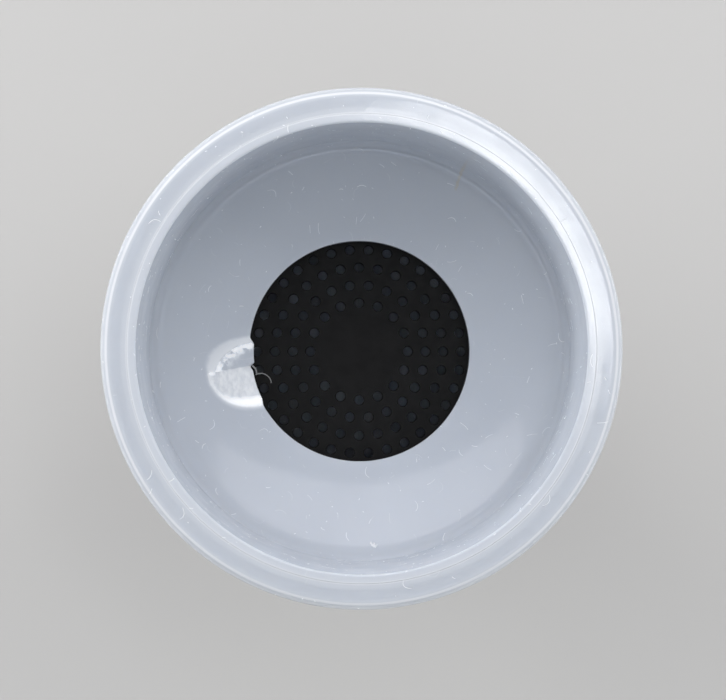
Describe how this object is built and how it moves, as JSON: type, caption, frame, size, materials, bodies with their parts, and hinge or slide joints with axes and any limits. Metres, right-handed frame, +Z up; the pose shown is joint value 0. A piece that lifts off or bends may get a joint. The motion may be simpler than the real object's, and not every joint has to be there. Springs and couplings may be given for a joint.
{
  "type": "buchner funnel",
  "caption": "Small take-apart Buchner funnel: a round lift-out bowl in a rimmed body over a perforated plate, with a conical lower section, a stem and a rubber flask cone.",
  "frame": {"origin": "on the funnel's axis, level with the tip of the stem", "axes": "+Z up along the axis from the stem's tip to the rim; +X towards the long side of the stem's oblique tip; the bowl's gate scar is near -X"},
  "size_m": [0.052, 0.052, 0.096],
  "materials": {
    "natural_polypropylene": "glossy, slightly milky translucent, cool grey, fine handling marks",
    "dark_plate": "dark grey moulded plastic with fine texture",
    "silicone_seal": "translucent white silicone",
    "flask_rubber": "dark matt elastomer with a faint mould texture"
  },
  "bodies": {
    "adapter_cone": {"adapter_cone": "flask_rubber"},
    "lower_section": {"lower_section": "natural_polypropylene"},
    "outer_body": {"outer_body": "natural_polypropylene", "waist_seal": "silicone_seal", "bowl_seal": "silicone_seal"},
    "perforated_plate": {"perforated_plate": "dark_plate"},
    "filter_bowl": {"filter_bowl": "natural_polypropylene"}
  },
  "joints": [
    {"name": "lower_section_lift", "type": "slide", "parent": "adapter_cone", "child": "lower_section", "axis": [0, 0, 1], "range_m": [0, 0.045]},
    {"name": "outer_body_lift", "type": "slide", "parent": "lower_section", "child": "outer_body", "axis": [0, 0, 1], "range_m": [0, 0.02]},
    {"name": "filter_bowl_lift", "type": "slide", "parent": "outer_body", "child": "filter_bowl", "axis": [0, 0, 1], "range_m": [0, 0.03]},
    {"name": "perforated_plate_lift", "type": "slide", "parent": "outer_body", "child": "perforated_plate", "axis": [0, 0, 1], "range_m": [0, 0.015]}
  ],
  "couplings": [
    {"joint": "perforated_plate_lift", "follows": "filter_bowl_lift", "ratio": 0.5}
  ]
}
